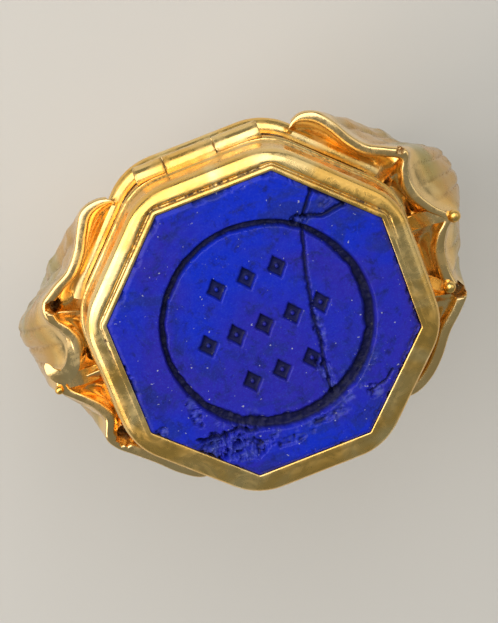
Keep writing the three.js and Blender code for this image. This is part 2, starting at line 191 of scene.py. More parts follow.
class Shape:
    """Points and faces gathered into one mesh, each part wound to face outwards."""

    def __init__(self):
        self.points, self.faces, self.marks = [], [], {}
        self.count = 0

    def add(self, points, *face_sets, **marks):
        points = np.asarray(points, float).reshape(-1, 3)
        volume = sum(signed_volume(points, f) for f in face_sets if len(f))
        for faces in face_sets:
            faces = faces if volume > 0 else faces[:, ::-1]
            self.faces.extend((faces + self.count).tolist())
        self.points.append(points)
        for name in set(self.marks) | set(marks):
            rows = self.marks.setdefault(name, [np.zeros(self.count)])
            rows.append(np.broadcast_to(np.ravel(marks.get(name, 0.0)), (len(points),)))
        self.count += len(points)
        return self

    def loft(self, rows, around=False, **marks):
        """Rows of points joined into a tube, with a cap at each end unless it closes on itself."""
        rows = np.asarray(rows, float)
        n, m = rows.shape[:2]
        points = rows.reshape(-1, 3)
        face_sets = [grid_faces(n, m, around, True)]
        marks = {k: np.ravel(v) for k, v in marks.items()}
        if not around:
            ring = np.arange(m)
            for first, flip in ((0, True), ((n - 1) * m, False)):
                points = np.vstack([points, rows.reshape(-1, 3)[first : first + m].mean(axis=0)])
                fan = [first + ring, first + (ring + 1) % m, np.full(m, len(points) - 1)]
                fan = np.stack(fan, axis=1)
                face_sets.append(fan[:, ::-1] if flip else fan)
                for k, v in marks.items():
                    marks[k] = np.append(v, v[first : first + m].mean())
        return self.add(points, *face_sets, **marks)

    def mesh(self, name):
        mesh = bpy.data.meshes.new(name)
        mesh.from_pydata((np.vstack(self.points) * MM).tolist(), [], self.faces)
        return mesh

    def build(self, name, material, body, node, slot="gold", sharp=SHARP_EDGE):
        """Makes the piece, which rides on body and stands for one CAD node."""
        mesh = self.mesh(name)
        for mark, rows in self.marks.items():
            values = np.concatenate(rows).astype(np.float32)
            mesh.attributes.new(mark, "FLOAT", "POINT").data.foreach_set("value", values)
        mesh.validate()
        mesh.shade_smooth()
        mesh.set_sharp_from_angle(angle=math.radians(sharp))
        mesh.materials.append(material)
        obj = add_object(name, mesh)
        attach(obj, body)
        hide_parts(node)
        return obj


def octagon(apothem, radius, arc=8, edge=14):
    """Plan points of a rounded octagon, with its straight sides divided too."""
    reach = (apothem - radius) / math.cos(EIGHTH / 2)
    corners = []
    for k in range(8):
        angles = EIGHTH * (k + np.linspace(0, 1, arc + 1))
        middle = EIGHTH * (k + 0.5)
        x = reach * math.cos(middle) + radius * np.cos(angles)
        y = reach * math.sin(middle) + radius * np.sin(angles)
        corners.append(np.stack([x, y], axis=1))
    loop = []
    for k in range(8):
        start, end = corners[k][-1], corners[(k + 1) % 8][0]
        steps = np.linspace(0, 1, edge + 1)[1:-1, None]
        loop += [corners[k], start + (end - start) * steps]
    return np.vstack(loop)


def level(apothem, depth, radius, **steps):
    """A rounded octagon's points at one depth."""
    plan = octagon(apothem, radius, **steps)
    return np.column_stack([plan, np.full(len(plan), TOP - depth)])


def rounded(profile, reach=0.05, closed=True):
    """The same outline with its corners softened, as on worn metal."""
    p = np.asarray(profile, float)
    out = []
    for k in range(len(p)):
        if not closed and k in (0, len(p) - 1):
            out.append(p[k])
            continue
        before, after = p[k - 1] - p[k], p[(k + 1) % len(p)] - p[k]
        a = p[k] + before * min(0.4, reach / max(np.hypot(*before[:2]), 1e-6))
        b = p[k] + after * min(0.4, reach / max(np.hypot(*after[:2]), 1e-6))
        out += [a, 0.25 * a + 0.5 * p[k] + 0.25 * b, b]
    return out


def hand_worked(rows, amount=0.012):
    """Moves points a little, as filing and wear leave a surface."""
    rows = np.asarray(rows, float)
    push = fractal(rows, 0.55, seed=5, octaves=3) * amount
    return rows + push[..., None] * np.array([1.0, 1.0, 0.6])


def outer(*levels):
    """Section points on the head's outer faces, from (distance out, depth)."""
    return [(out, depth, OUTER_CORNER) for out, depth in levels]


def octagon_frame(profile, reach=0.05, **steps):
    """Rows for an eight-sided frame from its section: (distance out, depth, corner radius)."""
    return hand_worked([level(*p, **steps) for p in rounded(profile, reach)])


def lathe_x(profile, y, z, sides=40):
    """Rows for a turned bar along X from (x, radius) pairs."""
    angles = np.linspace(0, TAU, sides, endpoint=False)
    rows = []
    for x, radius in profile:
        ring = [np.full(sides, x), y + radius * np.cos(angles), z + radius * np.sin(angles)]
        rows.append(np.stack(ring, axis=1))
    return rows


def cut(obj, *tools):
    """Cuts each tool out of obj, and removes the tools."""
    bpy.context.view_layer.objects.active = obj
    for tool in tools:
        mod = obj.modifiers.new("cut", "BOOLEAN")
        mod.operation, mod.object, mod.solver = "DIFFERENCE", tool, "EXACT"
        bpy.ops.object.modifier_apply(modifier=mod.name)
        bpy.data.objects.remove(tool)
    obj.data.shade_smooth()
    obj.data.set_sharp_from_angle(angle=math.radians(SHARP_EDGE))


def bar_tool(radius, x_from, x_to, y, depth):
    """A round bar along X, to cut with."""
    shape = Shape().loft(lathe_x([(x_from, radius), (x_to, radius)], y, TOP - depth, 48))
    return add_object("tool", shape.mesh("tool"))


# ---- Materials ----


class Surface:
    """A procedural material built node by node round one Principled shader."""

    def __init__(self, name, **settings):
        self.material = bpy.data.materials.new(name)
        self.material.use_nodes = True
        self.tree = self.material.node_tree
        self.shader = self.tree.nodes["Principled BSDF"]
        self.set(self.shader, settings)
        self.place = self.scaled(self.node("TexCoord").outputs["Object"], (1 / MM,) * 3)

    def put(self, socket, value):
        """Links value if it is a node's output, and otherwise sets it on the socket."""
        if hasattr(value, "is_output"):
            self.tree.links.new(value, socket)
        else:
            socket.default_value = value

    def set(self, node, inputs):
        for key, value in inputs.items():
            self.put(node.inputs[key.replace("_", " ")], value)

    def node(self, kind, **inputs):
        node = self.tree.nodes.new("ShaderNode" + kind)
        self.set(node, inputs)
        return node

    def scaled(self, vector, scale, turn=(0, 0, 0)):
        """Places stretched by scale; a small number draws the pattern out along that axis."""
        return self.node("Mapping", Scale=scale, Rotation=turn, Vector=vector).outputs["Vector"]

    def noise(self, scale, detail=3.0, rough=0.55, twist=0.0, vector=None):
        settings = {"Scale": scale, "Detail": detail, "Roughness": rough, "Distortion": twist}
        return self.node("TexNoise", Vector=vector or self.place, **settings).outputs["Fac"]

    def math(self, operation, a, b=0.0):
        node = self.node("Math")
        node.operation = operation
        self.put(node.inputs[0], a)
        self.put(node.inputs[1], b)
        return node.outputs[0]

    def times(self, a, b):
        return self.math("MULTIPLY", a, b)

    def ramp(self, value, low, high, start=0.0, end=1.0):
        """Eases from start to end while value goes from low to high."""
        limits = {"From_Min": low, "From_Max": high, "To_Min": start, "To_Max": end}
        node = self.node("MapRange", **limits)
        node.interpolation_type = "SMOOTHSTEP"
        self.put(node.inputs["Value"], value)
        return node.outputs["Result"]

    def mix(self, share, a, b):
        node = self.node("Mix")
        node.data_type = "RGBA"
        self.put(node.inputs["Factor"], share)
        for socket, value in ((node.inputs[6], a), (node.inputs[7], b)):
            self.put(socket, value if hasattr(value, "is_output") else (*value, 1.0))
        return node.outputs[2]

    def mark(self, name):
        """A number that the mesh carries at each point, such as its dirt and painted shade."""
        node = self.node("Attribute")
        node.attribute_name = name
        return node.outputs["Fac"]

    def height(self, *layers):
        """Chains bumps: (value, strength, distance in millimetres)."""
        normal = None
        for value, strength, distance in layers:
            node = self.node("Bump", Strength=strength, Distance=distance * MM, Height=value)
            if normal is not None:
                self.tree.links.new(normal, node.inputs["Normal"])
            normal = node.outputs["Normal"]
        self.tree.links.new(normal, self.shader.inputs["Normal"])

    def finish(self, **inputs):
        self.set(self.shader, inputs)
        return self.material


RICH_GOLD = (0.93, 0.56, 0.14)
PALE_GOLD = (0.97, 0.73, 0.33)
# Orange-brown: painted shade in the flutes and pits, and a tone in the painted dark reflection
SHADE_GOLD = (0.50, 0.24, 0.06)
TARNISH = (0.42, 0.36, 0.17)
# Pale cream: the painted highlight on rims and leaf tips
CREAM_GOLD = (0.96, 0.70, 0.36)
# Brown to olive: the painted dark reflection on the shoulders' outer faces
SKIN_BROWN = (0.66, 0.38, 0.11)
SKIN_OLIVE = (0.40, 0.36, 0.13)
# Near black for dirt, and for painted shade in the shoulders' drilled pits
GRIME_AND_SHADE = (0.05, 0.028, 0.012)
ULTRAMARINE = (0.003, 0.022, 0.54)
VIOLET = (0.022, 0.018, 0.38)
DARK_VEIL = (0.010, 0.022, 0.17)
DARK_MOTTLE = (0.008, 0.012, 0.10)
PALE_GRAIN = (0.03, 0.07, 0.62)
# Paler blue for fresh chips, and for the painted highlight on the groove's front lips
FRESH_CHIP_AND_HIGHLIGHT = (0.07, 0.10, 0.42)
FLECK = (0.30, 0.32, 0.50)
# Near black for dirt, and for painted shade in the cut groove
STONE_DIRT_AND_SHADE = (0.003, 0.004, 0.012)
DARK_SILK = (0.16, 0.016, 0.028)
PALE_SILK = (0.27, 0.045, 0.05)
SILK_THREAD = (0.36, 0.09, 0.09)
DARK_CEMENT = (0.04, 0.025, 0.015)
PALE_CEMENT = (0.12, 0.08, 0.05)


def gold_surface(name, rough=0.2, pale=0.5, tarnish=0.2):
    """Old worn gold with fine scratches and dents, coloured by the marks that its mesh carries: dirt, and
    painted shade, highlight and dark reflection.
    """
    s = Surface(name, Metallic=1.0)
    tone = s.ramp(s.noise(0.35, 2.0, twist=0.8), 0.62 - 0.5 * pale, 1.0 - 0.5 * pale)
    colour = s.mix(tone, RICH_GOLD, PALE_GOLD)
    cloud = s.noise(0.5, 4.0, 0.6, twist=0.5, vector=s.scaled(s.place, (1, 1, 0.6)))
    colour = s.mix(s.ramp(cloud, 0.56, 0.72, 0, tarnish), colour, TARNISH)
    # Painted shade: orange-brown where the deep mark is high, in the flutes' deep ends and the pits, and
    # along the chased veins
    colour = s.mix(s.times(s.mark("deep"), 0.8), colour, SHADE_GOLD)
    # Painted highlight: pale cream gold on rims, leaf tips and the shallow start of each flute
    colour = s.mix(s.times(s.mark("polish"), 0.6), colour, CREAM_GOLD)
    # Painted dark reflection: brown to olive over the shoulders' outer faces, in place of the dark
    # surroundings that they mirror
    reflected_tone = s.mix(s.ramp(s.noise(0.22, 3.0, 0.5, twist=0.6), 0.40, 0.62), SKIN_BROWN, SKIN_OLIVE)
    reflected_tone = s.mix(s.ramp(s.noise(1.1, 5.0, 0.65), 0.52, 0.75, 0, 0.5), reflected_tone, SHADE_GOLD)
    colour = s.mix(s.times(s.mark("patina"), 0.85), colour, reflected_tone)
    # Near-black specks: dirt, and painted shade in the shoulders' pits
    specks = s.ramp(s.noise(5.0, 5.0, 0.7), 0.42, 0.6)
    dirt_and_shade = s.times(s.mark("grime"), specks)
    colour = s.mix(dirt_and_shade, colour, GRIME_AND_SHADE)
    smear = s.ramp(s.noise(0.9, 5.0, 0.65, twist=1.0), 0.35, 0.75, rough * 0.75, rough * 1.9)
    roughness = s.math("ADD", smear, s.times(dirt_and_shade, 0.5))
    hair = s.noise(9.0, 2.0, vector=s.scaled(s.place, (1, 0.04, 0.6), (0.2, 0.1, 0.6)))
    cross = s.noise(8.0, 2.0, vector=s.scaled(s.place, (0.05, 1, 0.6), (0.1, 0.3, -0.5)))
    dents = s.noise(1.6, 3.0, 0.5)
    s.height((dents, 0.16, 0.05), (hair, 0.10, 0.012), (cross, 0.08, 0.012), (specks, 0.06, 0.01))
    metallic = s.ramp(dirt_and_shade, 0.2, 0.9, 1.0, 0.0)
    return s.finish(Base_Color=colour, Roughness=roughness, Metallic=metallic)


def lapis_surface():
    """Lapis: ultramarine, clouded violet and dark, with pale specks."""
    s = Surface("lapis")
    cloud = s.noise(0.16, 3.0, 0.5, twist=0.6)
    colour = s.mix(s.ramp(cloud, 0.38, 0.62), ULTRAMARINE, VIOLET)
    veil = s.noise(0.45, 5.0, 0.62, twist=0.8)
    colour = s.mix(s.ramp(veil, 0.50, 0.64, 0, 0.6), colour, DARK_VEIL)
    mottle = s.noise(1.5, 6.0, 0.68, twist=0.4)
    colour = s.mix(s.ramp(mottle, 0.50, 0.70, 0, 0.75), colour, DARK_MOTTLE)
    grain = s.noise(14.0, 3.0, 0.6)
    colour = s.mix(s.ramp(grain, 0.45, 0.75, 0, 0.35), colour, PALE_GRAIN)
    # Paler where chipped, and a painted highlight on the groove's front lips
    colour = s.mix(s.times(s.mark("chip"), 0.5), colour, FRESH_CHIP_AND_HIGHLIGHT)
    flecks = s.ramp(s.noise(4.5, 2.0, 0.5), 0.71, 0.75)
    colour = s.mix(flecks, colour, FLECK)
    # Near black: dirt in cracks and chips, and painted shade in the cut groove
    colour = s.mix(s.mark("grime"), colour, STONE_DIRT_AND_SHADE)
    rough = s.ramp(s.noise(2.2, 4.0, 0.6), 0.3, 0.7, 0.26, 0.44)
    rough = s.math("ADD", rough, s.times(s.mark("grime"), 0.25))
    s.height((s.noise(7.0, 5.0, 0.7), 0.25, 0.02), (s.noise(1.2, 2.0), 0.2, 0.03))
    return s.finish(Base_Color=colour, Roughness=rough, IOR=1.4, Specular_IOR_Level=0.3)


def crystal_surface():
    """Old glass with faint smears and a surface that isn't quite flat."""
    s = Surface("crystal", Base_Color=(1, 1, 1, 1), IOR=1.5, Transmission_Weight=1.0)
    smear = s.noise(1.2, 4.0, 0.6, twist=1.2)
    s.height((s.noise(0.5, 2.0), 0.04, 0.05))
    return s.finish(Roughness=s.ramp(smear, 0.4, 0.8, 0.01, 0.09))


def silk_surface():
    """Plain-woven silk: ribs both ways and a soft sheen."""
    s = Surface("silk", Roughness=0.7, Sheen_Weight=0.5)
    ribs = s.noise(10.0, 1.0, vector=s.scaled(s.place, (1, 0.05, 1)))
    weft = s.noise(10.0, 1.0, vector=s.scaled(s.place, (0.05, 1, 1)))
    weave = s.math("MAXIMUM", ribs, weft)
    fade = s.noise(0.4, 3.0, 0.6, twist=1.0)
    colour = s.mix(s.ramp(fade, 0.35, 0.7), DARK_SILK, PALE_SILK)
    colour = s.mix(s.ramp(weave, 0.4, 0.7, 0, 0.5), colour, SILK_THREAD)
    s.height((weave, 0.6, 0.03))
    return s.finish(Base_Color=colour)


def cement_surface():
    """Gritty brown setter's cement."""
    s = Surface("cement", Roughness=0.9)
    grit = s.noise(4.0, 5.0, 0.7)
    s.height((grit, 0.5, 0.05))
    return s.finish(Base_Color=s.mix(grit, DARK_CEMENT, PALE_CEMENT))


gold = gold_surface("worn_gold", rough=0.25, pale=0.6)
chased_gold = gold_surface("chased_gold", rough=0.2, pale=0.45, tarnish=0.4)
inner_gold = gold_surface("satin_gold", rough=0.28, pale=0.8, tarnish=0.15)
lapis = lapis_surface()


# ---- Seal ----

HALF_CELLS = 140  # cells from the middle of the stone to a side
GROOVE_R, GROOVE_WIDTH, GROOVE_DEPTH = 4.85, 0.30, 0.34
GROOVE_CENTRE = np.array([0.1, 0.08])
CUT_ROWS = {2.5: (-1.5, 0, 1.5), 0.1: (-2.8, -1.4, 0, 1.4, 2.8), -2.3: (-1.5, 0, 1.5)}
CUT_HALF = np.array([0.56, 0.68])
CUT_DEPTH = 0.24
# Cracks: plan points, width and depth
LONG_CRACK = [  # from the hinge side to the front
    (3.2, 3.8), (2.95, 2.7), (2.65, 1.9), (2.5, 0.85), (2.25, -0.3), (2.2, -1.3), (1.95, -2.8), (1.8, -4.2),
]
CRACKS = [
    (LONG_CRACK, 0.13, 0.16),
    ([(3.4, 4.3), (4.2, 5.3), (4.4, 5.6)], 0.12, 0.2),
    ([(3.4, 4.3), (4.3, 4.0), (5.4, 4.1)], 0.14, 0.2),
    ([(4.2, 5.3), (4.9, 4.8), (5.4, 4.1)], 0.09, 0.14),
    ([(-4.9, -4.0), (-3.9, -4.3), (-2.9, -4.2), (-2.2, -4.6)], 0.12, 0.15),
    ([(3.5, -4.9), (4.4, -4.6), (4.9, -4.2)], 0.08, 0.12),
]
# Chips: plan centre, half sizes, depth
CHIPS = [
    ((-4.1, -4.7), (1.25, 0.80), 0.26),
    ((-3.0, -5.4), (1.3, 0.50), 0.22),
    ((-0.6, -5.7), (0.9, 0.25), 0.08),
    ((1.5, -5.3), (1.0, 0.22), 0.07),
    ((3.7, -4.9), (0.5, 0.4), 0.14),
    ((-4.6, -2.6), (0.30, 0.9), 0.10),
    ((4.7, 4.7), (0.55, 0.35), 0.05),
    ((-6.4, -3.0), (0.35, 0.25), 0.12),
    ((3.2, 4.2), (0.45, 0.35), 0.20),
    ((2.3, -0.9), (0.28, 1.3), 0.09),
    ((1.9, -3.4), (0.34, 1.0), 0.12),
]


def stone_plan():
    """A square grid of places pulled out to the octagon, so that its edge rows follow the sides."""
    u = np.linspace(-1, 1, 2 * HALF_CELLS + 1)
    x, y = np.meshgrid(u, u, indexing="ij")
    size = np.maximum(np.maximum(abs(x), abs(y)), 1e-9)
    dx, dy = x / size, y / size
    across = np.maximum(1.0, (abs(dx) + abs(dy)) / math.sqrt(2))
    out = STONE_HALF * size / across
    return np.stack([dx * out, dy * out], axis=-1), size


def distance_to_path(plan, path):
    """Distance from each place to a polyline."""
    path = np.asarray(path)
    best = np.full(plan.shape[:-1], np.inf)
    for a, b in zip(path[:-1], path[1:]):
        along = np.clip(((plan - a) @ (b - a)) / ((b - a) @ (b - a)), 0, 1)
        best = np.minimum(best, np.linalg.norm(plan - a - along[..., None] * (b - a), axis=-1))
    return best


def cut_groove(plan, ragged, fine):
    """The cut circle, wider and rougher towards the front and darkened with painted shade, and the chipped
    lips beside it, paler with a painted highlight.
    """
    radius = np.linalg.norm(plan - GROOVE_CENTRE, axis=-1)
    front = ease(-plan[..., 1], 2.0, 5.0)
    wide = ease(0.5 * plan[..., 0] - plan[..., 1], -3.0, 4.0)
    half = GROOVE_WIDTH * (0.62 + 0.5 * wide) * (1 + 0.16 * ragged + 0.22 * front * (1 + fine))
    across = abs(radius + 0.06 * ragged - GROOVE_R) / half
    groove = ease(1.15 - across, 0.0, 0.75)
    # The lips are chipped and sunk a little, and their paler chip colour at the front is also a painted
    # highlight
    lips = bump(across, 1.35, 0.30) * (0.15 + 0.85 * front) * ease(fine + 0.5 * ragged, -0.1, 0.6)
    drop = GROOVE_DEPTH * groove * (1 + 0.2 * fine) + 0.05 * lips * (1 + fine)
    # The second value darkens the groove with painted shade; the lips are returned as chipping with a
    # painted highlight
    return drop, 0.9 * ease(groove, 0.25, 0.95), lips


def cut_lozenges(plan, fine):
    """Rows of plain lozenges, each with a bar across it and a pip left standing in its middle."""
    drop = grime = 0
    for y, places in CUT_ROWS.items():
        for x in places:
            offset = abs(plan - [x, y]) / CUT_HALF
            lozenge = 1.0 - offset.sum(axis=-1) + 0.05 * fine
            bar = 1.0 - np.maximum(offset[..., 0] / 0.9, offset[..., 1] / 0.2) - 0.02 * fine
            mark = np.maximum(ease(lozenge, 0.0, 0.35), 0.8 * ease(bar, 0.0, 0.3))
            pip = ease(1.0 - np.linalg.norm(offset, axis=-1) / 0.24, 0, 0.6)
            mark = mark * (1 - 0.55 * pip)
            drop += CUT_DEPTH * mark
            grime = np.maximum(grime, 0.85 * ease(mark, 0.15, 0.9))
    return drop, grime, 0


def crack_open(plan, ragged, fine):
    """Wandering cracks, dirty inside."""
    drop = grime = 0
    for path, width, depth in CRACKS:
        away = distance_to_path(plan + 0.10 * ragged[..., None], path) / (width * (1 + 0.5 * fine))
        line = ease(1.2 - away, 0, 1)
        drop += depth * line
        grime = np.maximum(grime, 0.8 * line)
    return drop, grime, 0


def chip_away(plan, ragged, fine):
    """Scars with ragged outlines, rough and partly dirty inside."""
    drop = grime = chip = 0
    for centre, halves, depth in CHIPS:
        inside = 1.0 - np.linalg.norm((plan - centre) / halves, axis=-1) + 0.45 * ragged + 0.2 * fine
        scar_and_highlight = ease(inside, 0.0, 0.35)
        drop += depth * scar_and_highlight * (1.0 + 1.1 * fine + 0.5 * ragged)
        chip = np.maximum(chip, scar_and_highlight * ease(-fine, -0.4, 0.5))
        grime = np.maximum(grime, 0.75 * scar_and_highlight * ease(fine + 0.5 * ragged, 0.25, 0.75))
    return drop, grime, chip


def wear_edge(plan, size, ragged, fine):
    """The worn and nicked outer edge, and the low facet on its right side."""
    edge = ease(size, 0.955, 1.0)
    bite = edge * ease(ragged + 0.4 * fine, 0.05, 0.65)
    facet = ease(plan[..., 0], 5.0, 5.6) * ease(abs(plan[..., 1]), 3.6, 2.4)
    drop = 0.10 * edge**3 + 0.22 * bite + 0.05 * facet * (plan[..., 0] - 5.0)
    return drop, 0, 0.7 * bite


def stone_height(plan, size):
    """How far the stone's face lies below its level, where dirt and painted shade darken it, and where chips
    and a painted highlight lighten it.
    """
    flat = np.concatenate([plan, np.zeros((*plan.shape[:-1], 1))], axis=-1)
    ragged = fractal(flat, 1.6, seed=11, octaves=4)
    fine = fractal(flat, 5.0, seed=23, octaves=3)
    layers = [
        cut_groove(plan, ragged, fine),
        cut_lozenges(plan, fine),
        crack_open(plan, ragged, fine),
        chip_away(plan, ragged, fine),
        wear_edge(plan, size, ragged, fine),
    ]
    drop, grime, chip = 0.010 * (ragged + 1) + 0.004 * (fine + 1), 0, 0
    for sunk, dirt_and_shade, scar_and_highlight in layers:
        drop += sunk
        grime = np.maximum(grime, dirt_and_shade)
        chip = np.maximum(chip, scar_and_highlight)
    return drop, grime, chip * (1 - grime)


def seal():
    """The stone: a finely divided face, and plain sides and underside."""
    plan, size = stone_plan()
    drop, grime, chip = stone_height(plan, size)
    drop -= drop.min()
    n = plan.shape[0]
    top = np.concatenate([plan, (TOP - drop)[..., None]], axis=-1).reshape(-1, 3)
    index = np.arange(n * n).reshape(n, n)
    rim = np.concatenate([index[0, :-1], index[:-1, -1], index[-1, :0:-1], index[:0:-1, 0]])
    walls = [np.column_stack([top[rim, :2], np.full(len(rim), TOP - d)]) for d in (0.5, STONE_DEPTH)]
    points = np.vstack([top, *walls, [[0, 0, TOP - STONE_DEPTH]]])

    # Faces: the worked face, two bands of side wall, and a fan underneath
    m, upper = len(rim), n * n
    lower = upper + m
    ring, after = np.arange(m), (np.arange(m) + 1) % m
    faces = [
        grid_faces(n, n, False, False),
        np.stack([rim, upper + ring, upper + after, rim[after]], axis=1),
        np.stack([upper + ring, lower + ring, lower + after, upper + after], axis=1),
        np.stack([lower + ring, np.full(m, len(points) - 1), lower + after], axis=1),
    ]
    clean = np.zeros(len(points) - n * n)
    marks = {"grime": np.append(grime.ravel(), clean), "chip": np.append(chip.ravel(), clean)}
    shape = Shape().add(points, *faces, **marks)
    shape.build("lapis_seal_stone", lapis, "lid", "lapis_seal", "lapis", sharp=60)


seal()


# ---- Lid ----

LID_WALL = 7.96  # the upright side
LID_CHANNEL = 7.14  # the worn channel beside the stone, on the hinge side
PLATE_SEAT = 7.15  # the recess for the back plate
BED_SEAT = 6.3  # the opening for the cement
LEDGE = LID_DEPTH - 0.76  # depth of the face that the back plate rests on
NOTCH_HALF, NOTCH_R = 1.5, 0.26  # the fingernail's notch

def lid_rows(lip, dip, ridge):
    """The lid's frame, with the channel's inner lip, floor and outer ridge at these depths."""
    seat = STONE_HALF + SEAT_GAP
    domed = [(7.26, ridge, 0.8), (7.40, 0.085, 1.4), (7.62, 0.14, 2.2), (7.80, 0.24, 2.8), (7.91, 0.40, 3.1)]
    section = [
        (seat, 0.05, 0.14), (6.90, 0.02, 0.2), (7.04, lip, 0.3), (7.11, dip, 0.4), (7.18, dip + 0.01, 0.55),
        *domed,
        *outer((LID_WALL - 0.005, 0.62), (LID_WALL, 1.00), (LID_WALL, 1.72), (LID_WALL + 0.03, 1.80)),
        *outer((LID_HALF, 1.88), (LID_HALF, LID_DEPTH)),
        (PLATE_SEAT, LID_DEPTH, 0.6), (PLATE_SEAT, LEDGE, 0.6), (BED_SEAT, LEDGE, 0.3),
        (BED_SEAT, STONE_DEPTH + SEAT_GAP, 0.3), (seat, STONE_DEPTH + SEAT_GAP, 0.14),
    ]
    return octagon_frame(section, reach=0.04, arc=10, edge=26)


def lid():
    """The lid's frame: a low domed band, plain at the front and with a dirty channel by the hinge."""
    grooved = lid_rows(lip=0.05, dip=0.17, ridge=0.07)
    plain = lid_rows(lip=0.035, dip=0.05, ridge=0.075)
    open_groove = (0.06 + 0.94 * ease(grooved[..., 1], 0.5, 4.5))[..., None]
    rows = plain + (grooved - plain) * open_groove
    down = TOP - rows[..., 2]
    half = np.maximum(abs(rows[..., 0]), abs(rows[..., 1]))
    half = np.maximum(half, (abs(rows[..., 0]) + abs(rows[..., 1])) / math.sqrt(2))
    channel = bump(half, LID_CHANNEL, 0.09) * (down < 0.4)
    towards_hinge = 0.2 + 0.8 * ease(rows[..., 1], -1.0, 4.0)
    patchy = patches(rows, 0.55, 0.8, 0.5, seed=31)
    step = bump(down, 1.78, 0.07) * 0.9
    grime = np.clip(2.2 * channel * towards_hinge * patchy + step * patchy, 0, 1)
    obj = Shape().loft(rows, around=True, grime=grime).build("lid_bezel", gold, "lid", "lid_frame")
    cut(obj, bar_tool(NOTCH_R, -NOTCH_HALF, NOTCH_HALF, -LID_HALF - 0.08, LID_DEPTH))


def tablet(name, profile, material, body, node, slot):
    """A flat eight-sided plate, with one more row of points inside the edge of each face."""
    rows = np.asarray([level(*p) for p in rounded(profile, 0.05, closed=False)])
    centre = rows.mean(axis=1, keepdims=True)
    inner = centre + (rows - centre) * 0.66
    Shape().loft([inner[0], *rows, inner[-1]]).build(name, material, body, node, slot)


lid()
tablet(
    "lid_lining_plate",
    [(PLATE_SEAT - 0.10, LEDGE + CLEARANCE, 0.58), (PLATE_SEAT - 0.04, LEDGE + 0.10, 0.58),
     (PLATE_SEAT - 0.10, LEDGE + 0.24, 0.58)],
    inner_gold, "lid", "lid_back_plate", "pale_gold",
)
tablet(
    "seal_cement",
    [(BED_SEAT - 0.04, STONE_DEPTH + CLEARANCE, 0.28), (BED_SEAT - 0.04, LEDGE - 0.01, 0.28)],
    cement_surface(), "lid", "stone_bed", "cement",
)


# ---- Case ----

CASE_INSIDE = 6.95  # half width inside the case wall
COLLAR_INSIDE = 6.5
CASE_NOTCH_HALF, CASE_NOTCH_R = 1.6, 0.3  # the case's half of the fingernail's notch

def case():
    """The case wall with its lip, hollowed for the hinge and notched for a fingernail."""
    lip = [(8.02, 0), (CASE_HALF, 0.10), (CASE_HALF, 0.22), (7.98, 0.36), (WALL_FLAT, 0.8)]
    section = [
        (CASE_INSIDE, CASE_TOP, 0.55),
        *outer(*((out, CASE_TOP + down) for out, down in lip)),
        *outer((WALL_FLAT - 0.02, MOULD_TOP - 0.1), (WALL_FLAT, CASE_BOTTOM)),
        (CASE_INSIDE, CASE_BOTTOM, 0.55),
    ]
    rows = octagon_frame(section, arc=10, edge=24)
    down = TOP - rows[..., 2]
    patchy = patches(rows, 0.5, 0.9, 0.6, seed=41)
    grime = patchy * (bump(down, CASE_TOP, 0.08) + bump(down, MOULD_TOP, 0.15))
    shape = Shape().loft(rows, around=True, grime=np.clip(grime, 0, 1))
    obj = shape.build("case_side", gold, "ring", "case_wall")
    left, right = span("left_hinge_knuckle", 0)[0], span("right_hinge_knuckle", 0)[1]
    web = span("middle_hinge_knuckle", 0)
    depth = TOP - HINGE_Z
    cut(
        obj,
        bar_tool(BARREL_R + CLEARANCE, left - CLEARANCE, right + CLEARANCE, HINGE_Y, depth),
        bar_tool(CASE_NOTCH_R, -CASE_NOTCH_HALF, CASE_NOTCH_HALF, -CASE_HALF - 0.06, CASE_TOP),
        bar_tool(0.34, web[0] - CLEARANCE, web[1] + CLEARANCE, HINGE_Y + 0.06, CASE_TOP + 0.05),
    )


def moulding():
    """The rounded moulding round the foot of the case."""
    inside = WALL_FLAT + CLEARANCE
    section = outer(
        (inside, MOULD_TOP), (8.18, MOULD_TOP), (8.38, MOULD_TOP + 0.06),
        (MOULD_HALF - 0.06, MOULD_TOP + 0.2), (MOULD_HALF, MOULD_TOP + 0.38),
        (MOULD_HALF - 0.03, MOULD_TOP + 0.58),
        (MOULD_HALF - 0.12, MOULD_BOTTOM - 0.06), (MOULD_HALF - 0.24, MOULD_BOTTOM), (inside, MOULD_BOTTOM),
    )
    rows = octagon_frame(section, arc=10, edge=24)
    Shape().loft(rows, around=True).build("foot_moulding", gold, "ring", "base_moulding")


def plain_frame(name, profile, node):
    """A thin pale gold frame that lies inside the case."""
    rows = octagon_frame(profile, reach=0.03)
    Shape().loft(rows, around=True).build(name, inner_gold, "ring", node, "pale_gold")


case()
moulding()
plain_frame(
    "bearer_collar",
    [
        (COLLAR_INSIDE, COLLAR_TOP, 0.45), (6.84, COLLAR_TOP, 0.53), (COLLAR_HALF, COLLAR_TOP + 0.08, 0.54),
        (COLLAR_HALF, FLOOR_TOP - CLEARANCE, 0.54), (COLLAR_INSIDE, FLOOR_TOP - CLEARANCE, 0.45),
    ],
    "collar",
)
top, bottom = 2.08, 2.95  # depths of the glass frame
plain_frame(
    "glass_bezel",
    [
        (5.7, top + 0.04, 0.35), (5.82, top, 0.35), (6.4, top, 0.44), (6.46, top + 0.06, 0.45),
        (6.46, bottom, 0.45), (6.2, bottom, 0.4), (6.2, top + 0.28, 0.4), (5.8, top + 0.28, 0.35),
    ],
    "glass_frame",
)
tablet(
    "case_back",
    [(6.88, FLOOR_TOP, 0.54), (6.92, FLOOR_TOP + 0.1, 0.54), (6.88, CASE_BOTTOM, 0.54)],
    inner_gold, "ring", "case_floor", "pale_gold",
)
tablet(
    "keepsake_pane",
    [(5.98, 2.39, 0.36), (6.12, 2.44, 0.38), (6.17, 2.56, 0.4), (6.17, 2.85, 0.4)],
    crystal_surface(), "ring", "keepsake_glass", "crystal",
)


